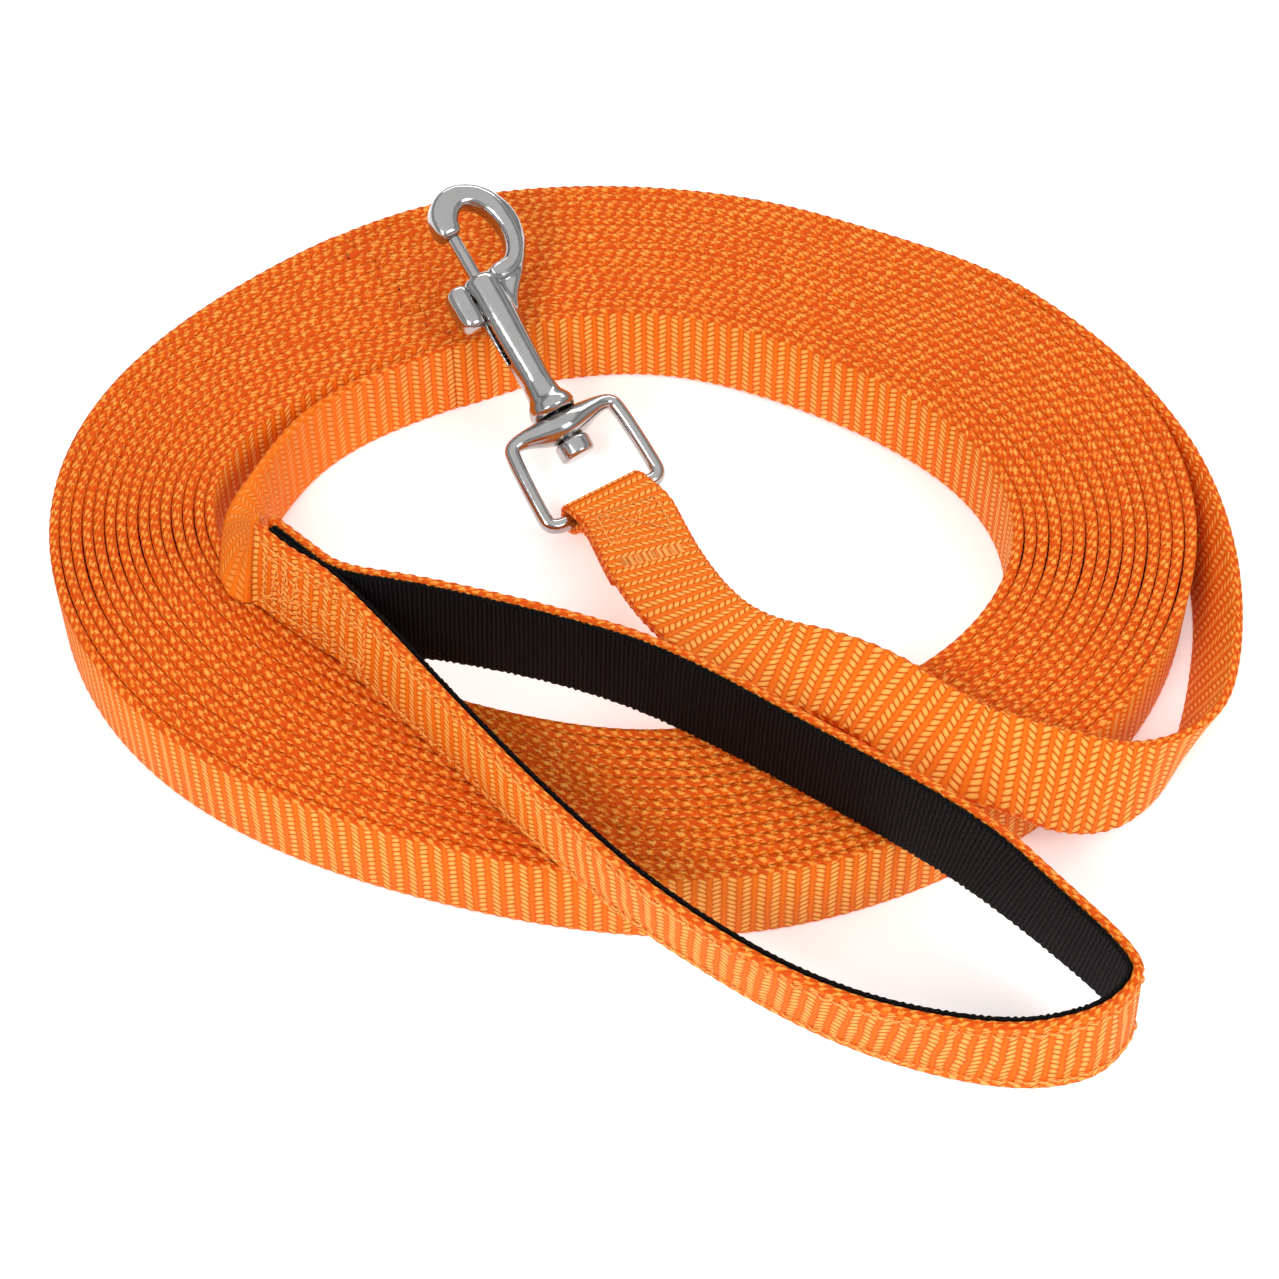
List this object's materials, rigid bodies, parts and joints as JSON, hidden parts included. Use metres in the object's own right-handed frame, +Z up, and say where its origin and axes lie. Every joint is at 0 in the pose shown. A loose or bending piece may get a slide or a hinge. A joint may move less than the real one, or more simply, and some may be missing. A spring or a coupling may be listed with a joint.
{
  "type": "training leash",
  "caption": "Long training leash of orange webbing wound flat in an oval coil, with a black-lined hand loop at one end and a nickel bolt snap with a swivel eye at the other.",
  "frame": {"origin": "middle of the leash's overall box, on the surface it lies on", "axes": "+Z up, out of the coil's flat side; +X along the longest extent, towards the side where the free end leaves the coil; the hand loop lies on the -Y side"},
  "size_m": [0.2502, 0.2406, 0.0453],
  "materials": {
    "webbing": "bright orange ribbed polyester webbing",
    "lining": "matt black woven lining",
    "thread": "orange sewing thread",
    "nickel": "polished nickel plate",
    "spring": "spring steel wire"
  },
  "bodies": {
    "lead": {"lead_coil": "webbing", "lead_inner_run": "webbing", "lead_tail": "webbing", "clip_end_fold": "webbing", "clip_end_box_stitch": "thread", "clip_end_bartack": "thread", "handle_strap": "webbing", "handle_lining": "lining", "handle_stitch_upper": "thread", "handle_stitch_lower": "thread", "neck_stitch": "thread"},
    "eye": {"swivel_eye": "nickel"},
    "snap": {"snap_body": "nickel", "swivel_rivet": "nickel", "gate_spring": "spring"},
    "gate": {"gate_bolt": "nickel", "thumb_button": "nickel"}
  },
  "joints": [
    {"name": "eye_hinge", "type": "hinge", "parent": "lead", "child": "eye", "pos_m": [-0.00736, 0.03251, 0.005], "axis": [0.8211, 0.5707, 0], "range_deg": [0, 80]},
    {"name": "snap_swivel", "type": "hinge", "parent": "eye", "child": "snap", "pos_m": [-0.01734, 0.04687, 0.0147], "axis": [-0.4992, 0.7182, 0.4848], "continuous": true},
    {"name": "gate_slide", "type": "slide", "parent": "snap", "child": "gate", "axis": [-0.4992, 0.7182, 0.4848], "range_m": [-0.0095, 0], "stiffness_N_per_m": 180, "springref_m": 0.01, "deforming": ["gate_spring"]}
  ]
}
